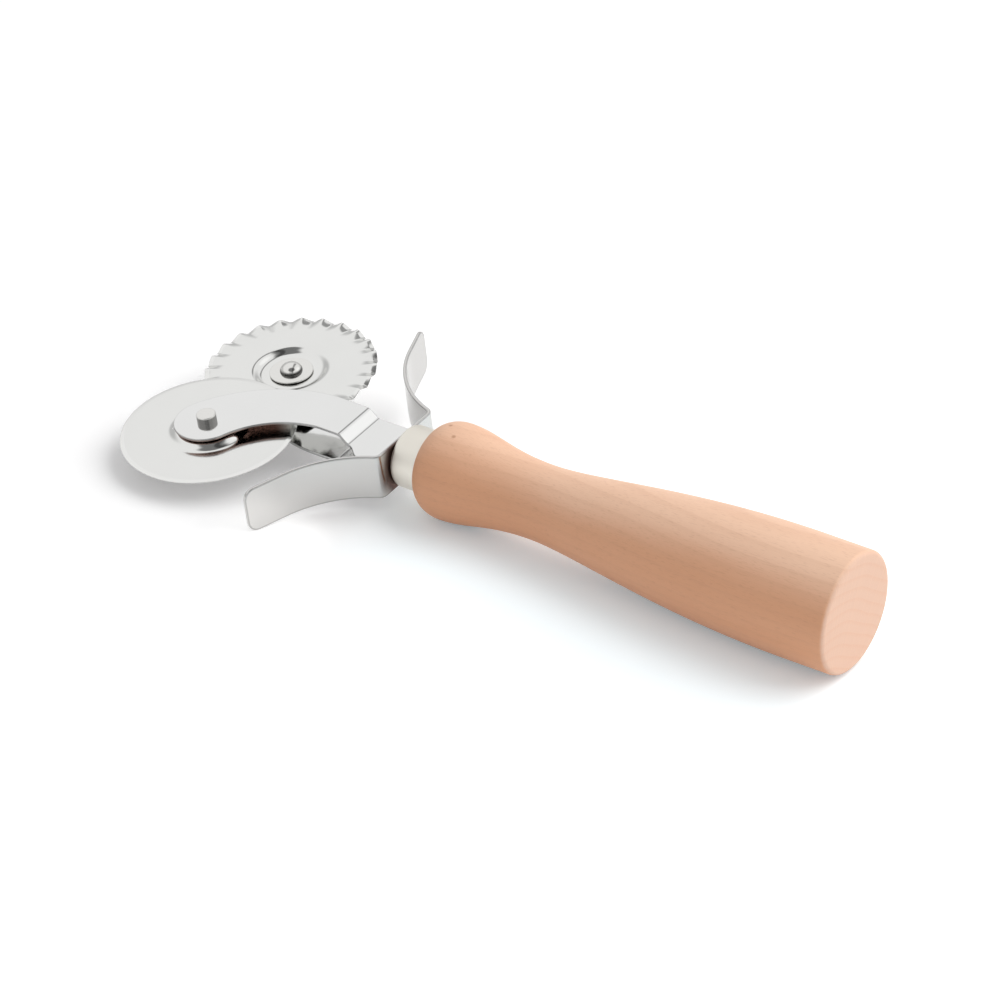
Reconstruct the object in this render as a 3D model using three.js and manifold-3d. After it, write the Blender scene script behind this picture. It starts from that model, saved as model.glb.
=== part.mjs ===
// Pasta cutter with two wheels side by side, one smooth and one fluted, on a forked sheet-metal head
// with two finger wings and a turned wooden handle.
// Millimetres. +X runs from the handle's butt to the wheels, +Y points to the smooth wheel's side and
// +Z is square to the wheels. The origin is the centre of the flat butt face.
import * as THREE from 'three';
import { mergeVertices } from 'three/addons/utils/BufferGeometryUtils.js';
import ManifoldModule from 'manifold-3d';

const wasm = await ManifoldModule();
wasm.setup();

// Handle
const HANDLE_LENGTH = 119.6; // butt face to the shoulder that the ferrule sits on
const BUTT_RADIUS = 15;
const BUTT_ROUNDING = 1.2;
const BELLY_FROM_BUTT = 15;
const BELLY_RADIUS = 15.1;
const BELLY_PULL = 35; // how far the belly runs on before it tapers
const WAIST_FROM_SHOULDER = 32.6;
const WAIST_RADIUS = 9.4;
const WAIST_PULL = 13.5;
const BULB_FROM_SHOULDER = 6.6;
const BULB_RADIUS = 12.4;
const BULB_PULL = 8;

// Ferrule
const FERRULE_LENGTH = 8;
const FERRULE_RADIUS = 8;
const FERRULE_WALL = 0.7;
const FERRULE_ROUNDING = 1.2;
const TENON_FIT = 0.2; // around and ahead of the wooden tenon

// Tang
const TANG_THICKNESS = 1.5;
const TANG_STEM_WIDTH = 7.6;
const TANG_HEAD_WIDTH = 12;
const TANG_HEAD_LENGTH = 12;
const TANG_DEPTH = 55; // how far the stem reaches into the wood behind the shoulder
const TANG_POINT = 9;
const TANG_FIT = 0.2; // in the handle's bore, the ferrule's hole and the wing strip's slot
const BORE_POINT = 3;

// Wing strip
const WING_THICKNESS = 0.9;
const WING_WIDTH = 12.5;
const WING_HUB_GAP = 1.2; // from the hub plates' widest edge to the start of each bend
const WING_BEND_RADIUS = 1.35; // inside of the bend
const SMOOTH_WING_ANGLE = 24.8; // degrees from the handle's axis, just past the bend
const FLUTED_WING_ANGLE = 17.5; // the wing beside the fluted wheel is bent further forward
const WING_TIP_ANGLE = 70;
const WING_SWEEP_RADIUS = 30;
const WING_TIP_LENGTH = 10.4; // straight end of each wing
const WING_CORNER = 3;

// Arms
const ARM_THICKNESS = 0.8;
const ARM_NEAR = 5.4; // from the handle's axis to the edge on the side that the arm sweeps to
const ARM_FAR = 7.3; // from the handle's axis to the other edge
const ARM_TIP_RADIUS = 8.45;
const ARM_STRAIGHT = 23; // from the web to where the arm starts to sweep sideways
const ARM_FLARE = 3; // extra width of the hub plate on the near side
const ARM_FLARE_LENGTH = 8.5;
const ARM_FLARE_RUN = 5;
const JOGGLE_FROM_WEB = 13.7;
const JOGGLE_RUN = 2.4;
const JOGGLE_SOFTNESS = 0.9; // length of the rounding on each side of a bend

// Wheels
const WHEEL_RADIUS = 22.5;
const WHEEL_THICKNESS = 0.5;
const WHEEL_EDGE = 0.2; // thickness left at the cutting edge
const WHEEL_BEVEL = 1.2;
const WHEEL_FROM_WEB = 49.7; // along the handle's axis to both axles
const WHEEL_OFFSET = 16.5; // sideways from the handle's axis to each axle
const WHEEL_CLEARANCE = 0.7; // free gap between the smooth wheel and the flutes
const BOSS_RADIUS = 10.8;
const BOSS_TOP_RADIUS = 7.2;
const BOSS_HEIGHT = 1.4;
const FLUTE_COUNT = 24;
const FLUTE_LENGTH = 4.7; // measured in from the rim
const FLUTE_SWING = 0.6; // to each side of the wheel's plane, at the rim
const FLUTE_CREASE = 0.94; // 0 gives round waves, 1 gives sharp folds
const FLUTE_TURN = 6.5; // degrees, where the first crest stands

// Axles and washers
const AXLE_RADIUS = 2.1;
const AXLE_SHOULDER_STEP = 0.4; // how far the shoulder and the plain end stand out from the journal
const AXLE_SHOULDER_LENGTH = 0.35;
const AXLE_END_LENGTH = 1.9; // plain end that stands above the arm
const AXLE_END_CHAMFER = 0.25;
const AXLE_DOME_STEP = 0.85;
const AXLE_DOME_HEIGHT = 2;
const AXLE_FIT = 0.12; // in the arm and the washer
const WHEEL_PLAY = 0.25; // between axle and wheel
const END_PLAY = 0.25; // on each side of the wheel's hub
const WASHER_RADIUS = 5.7;
const WASHER_THICKNESS = 0.4;
const WASHER_CHAMFER = 0.12;

// Fineness of the turned and curved faces
const HANDLE_SEGMENTS = 32;
const HANDLE_CURVE_STEPS = 6;
const RIVET_SEGMENTS = 20;
const WASHER_SEGMENTS = 28;
const SMOOTH_WHEEL_SEGMENTS = 64;
const SEGMENTS_PER_FLUTE = 6;
const FLUTE_RINGS = 2;
const BOSS_STEPS = 4;
const SHEET_CURVE_STEPS = 8;
const ARM_SWEEP_STEPS = 14;
const CUT_OVERSHOOT = 1; // how far a cutting solid stands out of what it cuts
const FAR = 400; // reach of a solid that trims only with one end

// Stations along the handle's axis
const waistAt = HANDLE_LENGTH - WAIST_FROM_SHOULDER;
const bulbAt = HANDLE_LENGTH - BULB_FROM_SHOULDER;
const webBack = HANDLE_LENGTH + FERRULE_LENGTH;
const webFront = webBack + WING_THICKNESS;
const axleAt = webFront + WHEEL_FROM_WEB;

// Half of the web's straight length, so that the hub plates fit between the bends
const webHalf = Math.max(ARM_NEAR + ARM_FLARE, ARM_FAR) + WING_HUB_GAP;

// Bore for the tang, and the tenon inside the ferrule
const boreRadius = Math.hypot(TANG_STEM_WIDTH / 2, TANG_THICKNESS / 2) + TANG_FIT;
const tenonRadius = FERRULE_RADIUS - FERRULE_WALL - TENON_FIT;
const tenonFront = webBack - FERRULE_WALL - TENON_FIT;

// Levels of the upper half above the middle plane; the lower half is the same, turned over
const wheelMiddle = (WHEEL_CLEARANCE + FLUTE_SWING + WHEEL_THICKNESS) / 2;
const hubTop = wheelMiddle + BOSS_HEIGHT + WHEEL_THICKNESS / 2;
const hubBottom = hubTop - WHEEL_THICKNESS;
const washerTop = hubBottom - END_PLAY;
const washerBottom = washerTop - WASHER_THICKNESS;
const shoulderBottom = hubTop + END_PLAY;
const armBottom = shoulderBottom + AXLE_SHOULDER_LENGTH;
const armTop = armBottom + ARM_THICKNESS;
const plateBottom = TANG_THICKNESS / 2;
const plateTop = plateBottom + ARM_THICKNESS;
const wheelBore = AXLE_RADIUS + WHEEL_PLAY;
const shoulderRadius = AXLE_RADIUS + AXLE_SHOULDER_STEP;
const domeRadius = AXLE_RADIUS + AXLE_DOME_STEP;

const steel = (color, roughness) => new THREE.MeshStandardMaterial({ color, roughness, metalness: 1 });
const wood = (color) => new THREE.MeshStandardMaterial({ color, roughness: 0.65, metalness: 0 });

// A three.js geometry as a closed solid that can be joined and cut.
function solid(geometry) {
  const bare = geometry.clone();
  bare.deleteAttribute('normal');
  bare.deleteAttribute('uv');
  const merged = mergeVertices(bare, 1e-4);
  const vertProperties = merged.attributes.position.array;
  const triVerts = new Uint32Array(merged.index.array);
  return new wasm.Manifold(new wasm.Mesh({ numProp: 3, vertProperties, triVerts }));
}

// A solid back as a geometry with flat faces.
function geometryOf(body) {
  const { vertProperties, triVerts } = body.getMesh();
  const geometry = new THREE.BufferGeometry();
  geometry.setAttribute('position', new THREE.BufferAttribute(new Float32Array(vertProperties), 3));
  geometry.setIndex(new THREE.BufferAttribute(new Uint32Array(triVerts), 1));
  const flat = geometry.toNonIndexed();
  flat.computeVertexNormals();
  return flat;
}

// A profile of (radius, height) points turned about the handle's axis.
const turnedAlongX = (path, steps, segments) =>
  new THREE.LatheGeometry(path.getPoints(steps), segments).rotateZ(-Math.PI / 2);

// A profile of (radius, height) points turned about a wheel's axis.
const turnedAlongZ = (path, steps, segments) =>
  new THREE.LatheGeometry(path.getPoints(steps), segments).rotateX(Math.PI / 2);

// An outline in the XY plane, given a thickness centred on the height middle.
function plate(shape, thickness, middle) {
  const options = { depth: thickness, bevelEnabled: false, curveSegments: SHEET_CURVE_STEPS };
  return new THREE.ExtrudeGeometry(shape, options).translate(0, 0, middle - thickness / 2);
}

// An outline in the XZ plane, given a width centred on the XZ plane.
function strip(shape, width) {
  const options = { depth: width, bevelEnabled: false, curveSegments: SHEET_CURVE_STEPS };
  return new THREE.ExtrudeGeometry(shape, options).translate(0, 0, -width / 2).rotateX(Math.PI / 2);
}

// Handle: flat butt with a rounded rim, long belly, waist, bulb, rounded nose, tenon and tang bore.
function handleGeometry() {
  const boreEnd = HANDLE_LENGTH - TANG_DEPTH - TANG_FIT;
  const profile = new THREE.Path();
  profile.moveTo(0, 0);
  profile.lineTo(BUTT_RADIUS - BUTT_ROUNDING, 0);
  profile.absarc(BUTT_RADIUS - BUTT_ROUNDING, BUTT_ROUNDING, BUTT_ROUNDING, -Math.PI / 2, 0, false);
  profile.lineTo(BELLY_RADIUS, BELLY_FROM_BUTT);
  profile.bezierCurveTo(
    BELLY_RADIUS, BELLY_FROM_BUTT + BELLY_PULL, WAIST_RADIUS, waistAt - WAIST_PULL, WAIST_RADIUS, waistAt,
  );
  profile.bezierCurveTo(
    WAIST_RADIUS, waistAt + WAIST_PULL, BULB_RADIUS, bulbAt - BULB_PULL, BULB_RADIUS, bulbAt,
  );
  const noseDrop = BULB_RADIUS - FERRULE_RADIUS;
  profile.absellipse(FERRULE_RADIUS, bulbAt, noseDrop, BULB_FROM_SHOULDER, 0, Math.PI / 2, false);
  profile.lineTo(tenonRadius, HANDLE_LENGTH);
  profile.lineTo(tenonRadius, tenonFront);
  profile.lineTo(boreRadius, tenonFront);
  profile.lineTo(boreRadius, boreEnd);
  profile.lineTo(0, boreEnd - BORE_POINT);
  return turnedAlongX(profile, HANDLE_CURVE_STEPS, HANDLE_SEGMENTS);
}

// Ferrule: a drawn cap over the tenon, its front wall pierced for the tang.
function ferruleGeometry() {
  const inner = FERRULE_RADIUS - FERRULE_WALL;
  const rim = FERRULE_RADIUS - FERRULE_ROUNDING;
  const profile = new THREE.Path();
  profile.moveTo(inner, HANDLE_LENGTH);
  profile.lineTo(FERRULE_RADIUS, HANDLE_LENGTH);
  profile.lineTo(FERRULE_RADIUS, webBack - FERRULE_ROUNDING);
  profile.absarc(rim, webBack - FERRULE_ROUNDING, FERRULE_ROUNDING, 0, Math.PI / 2, false);
  profile.lineTo(boreRadius, webBack);
  profile.lineTo(boreRadius, webBack - FERRULE_WALL);
  profile.lineTo(inner, webBack - FERRULE_WALL);
  profile.lineTo(inner, HANDLE_LENGTH);
  return turnedAlongX(profile, 2, HANDLE_SEGMENTS);
}

// Tang: a flat blade with a pointed stem and a wider head between the two hub plates.
function tangGeometry() {
  const stem = TANG_STEM_WIDTH / 2;
  const head = TANG_HEAD_WIDTH / 2;
  const end = HANDLE_LENGTH - TANG_DEPTH;
  const outline = new THREE.Shape();
  outline.moveTo(end, 0);
  outline.lineTo(end + TANG_POINT, -stem);
  outline.lineTo(webFront, -stem);
  outline.lineTo(webFront, -head);
  outline.lineTo(webFront + TANG_HEAD_LENGTH, -head);
  outline.lineTo(webFront + TANG_HEAD_LENGTH, head);
  outline.lineTo(webFront, head);
  outline.lineTo(webFront, stem);
  outline.lineTo(end + TANG_POINT, stem);
  return plate(outline, TANG_THICKNESS, 0);
}

// Half of one face of the wing strip, from the middle of the web to a wing's tip, in plan.
// The face that lies depth inside the outer one keeps the same bend and sweep centres.
function wingFace(depth, rootAngle) {
  const root = THREE.MathUtils.degToRad(rootAngle);
  const tip = THREE.MathUtils.degToRad(WING_TIP_ANGLE);
  const bendOutside = WING_BEND_RADIUS + WING_THICKNESS;
  const bendX = webBack + bendOutside;
  const rootX = bendX - bendOutside * Math.sin(root);
  const rootY = webHalf + bendOutside * Math.cos(root);
  const sweepX = rootX - WING_SWEEP_RADIUS * Math.sin(root);
  const sweepY = rootY + WING_SWEEP_RADIUS * Math.cos(root);
  const sweep = WING_SWEEP_RADIUS + depth;
  const face = new THREE.Path();
  face.moveTo(webBack + depth, 0);
  face.lineTo(webBack + depth, webHalf);
  face.absarc(bendX, webHalf, bendOutside - depth, Math.PI, Math.PI / 2 + root, true);
  face.absarc(sweepX, sweepY, sweep, root - Math.PI / 2, tip - Math.PI / 2, false);
  const endX = sweepX + sweep * Math.sin(tip) + WING_TIP_LENGTH * Math.cos(tip);
  const endY = sweepY - sweep * Math.cos(tip) + WING_TIP_LENGTH * Math.sin(tip);
  face.lineTo(endX, endY);
  return face.getPoints(SHEET_CURVE_STEPS);
}

// A slab as wide as the strip, with two round corners, that trims the wing on one side.
function wingTrim(tipPoint) {
  const half = WING_WIDTH / 2;
  const corner = half - WING_CORNER;
  const slab = new THREE.Shape();
  slab.moveTo(-FAR, -half);
  slab.lineTo(-WING_CORNER, -half);
  slab.absarc(-WING_CORNER, -corner, WING_CORNER, -Math.PI / 2, 0, false);
  slab.absarc(-WING_CORNER, corner, WING_CORNER, 0, Math.PI / 2, false);
  slab.lineTo(-FAR, half);
  const turn = Math.sign(tipPoint.y) * THREE.MathUtils.degToRad(WING_TIP_ANGLE);
  return solid(strip(slab, 2 * FAR).rotateZ(turn).translate(tipPoint.x, tipPoint.y, 0));
}

// Wing strip: a U of sheet with flared, round-cornered wings and a slot for the tang in its web.
function wingStripGeometry() {
  const mirrored = (points) => points.map((p) => new THREE.Vector2(p.x, -p.y));
  const smoothOuter = wingFace(0, SMOOTH_WING_ANGLE);
  const smoothInner = wingFace(WING_THICKNESS, SMOOTH_WING_ANGLE);
  const flutedOuter = mirrored(wingFace(0, FLUTED_WING_ANGLE));
  const flutedInner = mirrored(wingFace(WING_THICKNESS, FLUTED_WING_ANGLE));
  const outline = [
    ...smoothOuter,
    ...smoothInner.reverse(),
    ...flutedInner.slice(1),
    ...flutedOuter.slice(1).reverse(),
  ];
  const band = solid(plate(new THREE.Shape(outline), WING_WIDTH + 2 * CUT_OVERSHOOT, 0));
  const slot = new THREE.BoxGeometry(
    WING_THICKNESS + 2 * CUT_OVERSHOOT, TANG_STEM_WIDTH + 2 * TANG_FIT, TANG_THICKNESS + 2 * TANG_FIT,
  ).translate((webBack + webFront) / 2, 0, 0);
  const smoothTrim = wingTrim(smoothOuter[smoothOuter.length - 1]);
  const flutedTrim = wingTrim(flutedOuter[flutedOuter.length - 1]);
  const trimmed = band.intersect(smoothTrim).intersect(flutedTrim);
  return geometryOf(trimmed.subtract(solid(slot)));
}

// Plan of an arm: hub plate with one flared side, a neck, a sweep to the axle and a round tip.
// Along the sweep both edges move away from the middle line evenly, out to the tip's radius.
function armPlan() {
  const bendAt = webFront + ARM_STRAIGHT;
  const reach = axleAt - bendAt;
  const sweep = (reach * reach + WHEEL_OFFSET * WHEEL_OFFSET) / (2 * WHEEL_OFFSET);
  const turn = 2 * Math.atan2(WHEEL_OFFSET, reach);
  const flareEnd = webFront + ARM_FLARE_LENGTH;
  const flareMiddle = flareEnd + ARM_FLARE_RUN / 2;
  const hubNear = ARM_NEAR + ARM_FLARE;
  const edge = (start, end) => Array.from({ length: ARM_SWEEP_STEPS }, (_, i) => {
    const share = i / ARM_SWEEP_STEPS;
    const radius = sweep - THREE.MathUtils.lerp(start, end, share);
    return [bendAt + radius * Math.sin(share * turn), sweep - radius * Math.cos(share * turn)];
  });
  const plan = new THREE.Shape();
  plan.moveTo(webFront, -ARM_FAR);
  edge(-ARM_FAR, -ARM_TIP_RADIUS).forEach(([x, y]) => plan.lineTo(x, y));
  plan.absarc(axleAt, WHEEL_OFFSET, ARM_TIP_RADIUS, turn - Math.PI / 2, turn + Math.PI / 2, false);
  edge(ARM_NEAR, ARM_TIP_RADIUS).reverse().forEach(([x, y]) => plan.lineTo(x, y));
  plan.lineTo(flareEnd + ARM_FLARE_RUN, ARM_NEAR);
  plan.bezierCurveTo(flareMiddle, ARM_NEAR, flareMiddle, hubNear, flareEnd, hubNear);
  plan.lineTo(webFront, hubNear);
  return plan;
}

// Side view of an arm: the hub plate, a joggle up and the raised blade, all of one thickness.
function armSide() {
  const start = webFront + JOGGLE_FROM_WEB;
  const rise = armTop - plateTop;
  const slope = Math.atan2(rise, JOGGLE_RUN);
  const lag = ARM_THICKNESS * Math.tan(slope / 2);
  const soft = new THREE.Vector2(Math.cos(slope), Math.sin(slope)).multiplyScalar(JOGGLE_SOFTNESS);
  const end = axleAt + 2 * ARM_TIP_RADIUS;
  const side = new THREE.Shape();
  side.moveTo(webFront, plateBottom);
  side.lineTo(start + lag - JOGGLE_SOFTNESS, plateBottom);
  side.quadraticCurveTo(start + lag, plateBottom, start + lag + soft.x, plateBottom + soft.y);
  side.lineTo(start + JOGGLE_RUN + lag - soft.x, armBottom - soft.y);
  side.quadraticCurveTo(
    start + JOGGLE_RUN + lag, armBottom, start + JOGGLE_RUN + lag + JOGGLE_SOFTNESS, armBottom,
  );
  side.lineTo(end, armBottom);
  side.lineTo(end, armTop);
  side.lineTo(start + JOGGLE_RUN + JOGGLE_SOFTNESS, armTop);
  side.quadraticCurveTo(start + JOGGLE_RUN, armTop, start + JOGGLE_RUN - soft.x, armTop - soft.y);
  side.lineTo(start + soft.x, plateTop + soft.y);
  side.quadraticCurveTo(start, plateTop, start - JOGGLE_SOFTNESS, plateTop);
  side.lineTo(webFront, plateTop);
  return side;
}

// Arm: what the plan and the side view have in common, with a hole for the axle.
function armGeometry() {
  const inPlan = solid(plate(armPlan(), 2 * (armTop + CUT_OVERSHOOT), 0));
  const inSideView = solid(strip(armSide(), 2 * (WHEEL_OFFSET + 2 * ARM_TIP_RADIUS)));
  const holeRadius = AXLE_RADIUS + AXLE_FIT;
  const hole = new THREE.CylinderGeometry(holeRadius, holeRadius, FAR, RIVET_SEGMENTS)
    .rotateX(Math.PI / 2)
    .translate(axleAt, WHEEL_OFFSET, 0);
  return geometryOf(inPlan.intersect(inSideView).subtract(solid(hole)));
}

// Section of a wheel about its own axis and middle plane: hub, pressed boss, flat disc, bevelled edge.
// ringRadii adds rings between the boss and the bevel, for flutes to bend at.
function wheelSection(ringRadii) {
  const half = WHEEL_THICKNESS / 2;
  const ease = (BOSS_RADIUS - BOSS_TOP_RADIUS) / 2;
  const section = new THREE.Path();
  section.moveTo(wheelBore, BOSS_HEIGHT - half);
  section.lineTo(BOSS_TOP_RADIUS, BOSS_HEIGHT - half);
  section.bezierCurveTo(
    BOSS_TOP_RADIUS + ease, BOSS_HEIGHT - half, BOSS_RADIUS - ease, -half, BOSS_RADIUS, -half,
  );
  ringRadii.forEach((radius) => section.lineTo(radius, -half));
  section.lineTo(WHEEL_RADIUS - WHEEL_BEVEL, -half);
  section.lineTo(WHEEL_RADIUS, -WHEEL_EDGE / 2);
  section.lineTo(WHEEL_RADIUS, WHEEL_EDGE / 2);
  section.lineTo(WHEEL_RADIUS - WHEEL_BEVEL, half);
  ringRadii.slice().reverse().forEach((radius) => section.lineTo(radius, half));
  section.lineTo(BOSS_RADIUS, half);
  section.bezierCurveTo(
    BOSS_RADIUS - ease, half, BOSS_TOP_RADIUS + ease, BOSS_HEIGHT + half, BOSS_TOP_RADIUS, BOSS_HEIGHT + half,
  );
  section.lineTo(wheelBore, BOSS_HEIGHT + half);
  section.lineTo(wheelBore, BOSS_HEIGHT - half);
  return section;
}

const smoothWheelGeometry = () => turnedAlongZ(wheelSection([]), BOSS_STEPS, SMOOTH_WHEEL_SEGMENTS);

// Fluted wheel: the rim swings to both sides in creased waves that fade out towards the disc.
function flutedWheelGeometry() {
  const from = WHEEL_RADIUS - FLUTE_LENGTH;
  const step = (FLUTE_LENGTH - WHEEL_BEVEL) / FLUTE_RINGS;
  const rings = Array.from({ length: FLUTE_RINGS }, (_, i) => from + i * step);
  const wheel = turnedAlongZ(wheelSection(rings), BOSS_STEPS, FLUTE_COUNT * SEGMENTS_PER_FLUTE);
  const points = wheel.attributes.position;
  const firstCrest = THREE.MathUtils.degToRad(FLUTE_TURN);
  for (let i = 0; i < points.count; i += 1) {
    const radius = Math.hypot(points.getX(i), points.getY(i));
    const growth = Math.max(0, (radius - from) / FLUTE_LENGTH);
    const phase = FLUTE_COUNT * (Math.atan2(points.getY(i), points.getX(i)) - firstCrest);
    const wave = Math.asin(FLUTE_CREASE * Math.cos(phase)) / Math.asin(FLUTE_CREASE);
    points.setZ(i, points.getZ(i) + FLUTE_SWING * growth * wave);
  }
  return wheel;
}

// Axle: plain end above the arm, neck through it, shoulder, journal for the wheel, and a domed end.
function axleGeometry() {
  const top = armTop + AXLE_END_LENGTH;
  const profile = new THREE.Path();
  profile.moveTo(0, washerBottom - AXLE_DOME_HEIGHT);
  profile.absellipse(0, washerBottom, domeRadius, AXLE_DOME_HEIGHT, -Math.PI / 2, 0, false);
  profile.lineTo(AXLE_RADIUS, washerBottom);
  profile.lineTo(AXLE_RADIUS, shoulderBottom);
  profile.lineTo(shoulderRadius, shoulderBottom);
  profile.lineTo(shoulderRadius, armBottom);
  profile.lineTo(AXLE_RADIUS, armBottom);
  profile.lineTo(AXLE_RADIUS, armTop);
  profile.lineTo(shoulderRadius, armTop);
  profile.lineTo(shoulderRadius, top - AXLE_END_CHAMFER);
  profile.lineTo(shoulderRadius - AXLE_END_CHAMFER, top);
  profile.lineTo(0, top);
  return turnedAlongZ(profile, 3, RIVET_SEGMENTS);
}

// Washer: lies on the shoulder of the axle's domed end, under the wheel's hub.
function washerGeometry() {
  const bore = AXLE_RADIUS + AXLE_FIT;
  const profile = new THREE.Path();
  profile.moveTo(bore, washerBottom);
  profile.lineTo(WASHER_RADIUS - WASHER_CHAMFER, washerBottom);
  profile.lineTo(WASHER_RADIUS, washerBottom + WASHER_CHAMFER);
  profile.lineTo(WASHER_RADIUS, washerTop);
  profile.lineTo(bore, washerTop);
  profile.lineTo(bore, washerBottom);
  return turnedAlongZ(profile, 1, WASHER_SEGMENTS);
}

function named(name, geometry, material) {
  const mesh = new THREE.Mesh(geometry, material);
  mesh.name = name;
  return mesh;
}

// One half of the head: an arm with its wheel, axle and washer.
function headHalf(names, wheelGeometry, wheelMaterial) {
  const half = new THREE.Group();
  const arm = named(names.arm, armGeometry(), steel(0xd9d9d7, 0.28));
  const wheel = named(names.wheel, wheelGeometry, wheelMaterial);
  wheel.position.set(axleAt, WHEEL_OFFSET, wheelMiddle);
  const axle = named(names.axle, axleGeometry(), steel(0xc8c8c4, 0.3));
  axle.position.set(axleAt, WHEEL_OFFSET, 0);
  const washer = named(names.washer, washerGeometry(), steel(0xd4d2cb, 0.35));
  washer.position.copy(axle.position);
  half.add(arm, wheel, axle, washer);
  return half;
}

const cutter = new THREE.Group();
cutter.add(named('handle', handleGeometry(), wood(0xd6a887)));
cutter.add(named('ferrule', ferruleGeometry(), steel(0xdcd7cc, 0.45)));
cutter.add(named('tang', tangGeometry(), steel(0xb8b8b4, 0.5)));
cutter.add(named('wing_strip', wingStripGeometry(), steel(0xcfcdca, 0.35)));

const smoothNames = { arm: 'upper_arm', wheel: 'smooth_wheel', axle: 'smooth_axle', washer: 'smooth_washer' };
cutter.add(headHalf(smoothNames, smoothWheelGeometry(), steel(0xe1e1e0, 0.18)));

const flutedNames = { arm: 'lower_arm', wheel: 'fluted_wheel', axle: 'fluted_axle', washer: 'fluted_washer' };
const lowerHalf = headHalf(flutedNames, flutedWheelGeometry(), steel(0xdadad6, 0.2));
lowerHalf.rotation.x = Math.PI;
cutter.add(lowerHalf);

export default cutter;
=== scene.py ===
"""Looks of a two-wheel pasta cutter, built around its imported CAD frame.

Metres. +X runs from the handle's butt to the wheels, +Y points to the smooth wheel's side and +Z is
square to the wheels. The origin is the centre of the flat butt face.
"""

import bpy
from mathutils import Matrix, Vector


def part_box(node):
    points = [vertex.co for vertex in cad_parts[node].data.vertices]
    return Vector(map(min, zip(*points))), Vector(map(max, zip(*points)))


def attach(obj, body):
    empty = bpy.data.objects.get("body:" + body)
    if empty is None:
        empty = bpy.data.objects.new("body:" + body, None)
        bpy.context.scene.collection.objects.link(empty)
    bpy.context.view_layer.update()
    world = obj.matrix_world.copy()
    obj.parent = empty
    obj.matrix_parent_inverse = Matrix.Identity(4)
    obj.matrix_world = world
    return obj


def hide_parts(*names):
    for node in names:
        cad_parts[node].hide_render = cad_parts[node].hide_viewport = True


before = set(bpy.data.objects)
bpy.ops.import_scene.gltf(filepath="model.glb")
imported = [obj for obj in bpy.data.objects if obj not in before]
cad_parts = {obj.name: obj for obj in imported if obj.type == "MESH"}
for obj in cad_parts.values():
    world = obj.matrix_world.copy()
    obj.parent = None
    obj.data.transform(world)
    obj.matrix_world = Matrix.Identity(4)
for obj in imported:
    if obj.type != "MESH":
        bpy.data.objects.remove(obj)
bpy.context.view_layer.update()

import math

import bpy
import numpy as np
from bpy.props import FloatProperty, FloatVectorProperty, IntProperty, PointerProperty
from mathutils import Quaternion, Vector

bl_info = {
    "name": "Pasta cutter",
    "version": (1, 0, 0),
    "blender": (4, 5, 0),
    "location": "3D View > Sidebar > Pasta cutter",
    "description": "Builds the visible pieces and finishes of a two-wheel pasta cutter",
    "category": "Object",
}

MM = 0.001
TURN = 2 * math.pi
QUARTER = math.pi / 2


# ---------------------------------------------------------------- settings

def size(name, millimetres, description):
    """A length that a user may change, given in millimetres."""
    return FloatProperty(name=name, description=description, default=millimetres * MM, min=0.0,
                         unit="LENGTH", subtype="DISTANCE", precision=5)


def angle(name, degrees, description):
    """An angle that a user may change, given in degrees."""
    return FloatProperty(name=name, description=description, default=math.radians(degrees),
                         unit="ROTATION", subtype="ANGLE")


def share(name, default, description):
    """A plain number from 0 to 1."""
    return FloatProperty(name=name, description=description, default=default, min=0.0, max=1.0,
                         subtype="FACTOR")


def light(name, default, description):
    """A lamp's or the surroundings' strength."""
    return FloatProperty(name=name, description=description, default=default, min=0.0)


def linear(display):
    """Scene-linear share of a colour value written from 0 to 255 as a screen shows it."""
    value = display / 255
    return value / 12.92 if value <= 0.04045 else ((value + 0.055) / 1.055) ** 2.4


def colour(name, red, green, blue, description):
    """A colour written in the 0 to 255 values that a screen shows."""
    return FloatVectorProperty(name=name, description=description, size=3, min=0.0, max=1.0,
                               subtype="COLOR", default=(linear(red), linear(green), linear(blue)))


class HandleSettings(bpy.types.PropertyGroup):
    """Sizes and colours of the turned handle."""
    length: size("Length", 119.6, "Butt face to the shoulder that the ferrule sits on")
    butt_radius: size("Butt radius", 15, "Radius just inside the butt's rounded rim")
    butt_rounding: size("Butt rounding", 1.2, "Rounding of the butt's rim")
    belly_from_butt: size("Belly position", 15, "Butt face to the widest place")
    belly_radius: size("Belly radius", 15.1, "Radius at the widest place")
    belly_pull: size("Belly pull", 35, "How far the belly runs on before it tapers")
    waist_from_shoulder: size("Waist position", 32.6, "Shoulder back to the waist")
    waist_radius: size("Waist radius", 9.4, "Radius at the waist")
    waist_pull: size("Waist pull", 13.5, "How softly the waist turns")
    bulb_from_shoulder: size("Bulb position", 6.6, "Shoulder back to the bulb's widest place")
    bulb_radius: size("Bulb radius", 12.4, "Radius at the bulb")
    bulb_pull: size("Bulb pull", 8, "How softly the bulb turns")
    bore_radius: size("Bore radius", 4.07, "Bore for the tang")
    bore_depth: size("Bore depth", 55.2, "Shoulder back to the bore's end")
    wood_pale: colour("Pale wood", 242, 202, 174, "Early wood of the beech")
    wood_warm_and_shade: colour("Warm wood", 221, 164, 127, "Darker, redder zones of the beech, and its painted shade")
    wood_late: colour("Late wood", 205, 152, 121, "Thin late-wood lines")
    wood_fleck: colour("Ray fleck", 186, 132, 102, "Short spindle-shaped ray flecks")
    wood_end: colour("End grain", 227, 190, 168, "Cut end of the butt")


class FerruleSettings(bpy.types.PropertyGroup):
    """Sizes and colour of the drawn metal cap."""
    length: size("Length", 8, "Shoulder of the handle to the wing strip's web")
    radius: size("Radius", 8, "Outside radius")
    wall: size("Wall", 0.7, "Sheet thickness")
    rounding: size("Rounding", 1.2, "Rounding of the front rim")
    tenon_fit: size("Tenon fit", 0.2, "Gap around and ahead of the wooden tenon")
    metal: colour("Metal", 249, 245, 236, "Satin, slightly warm metal")


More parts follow.
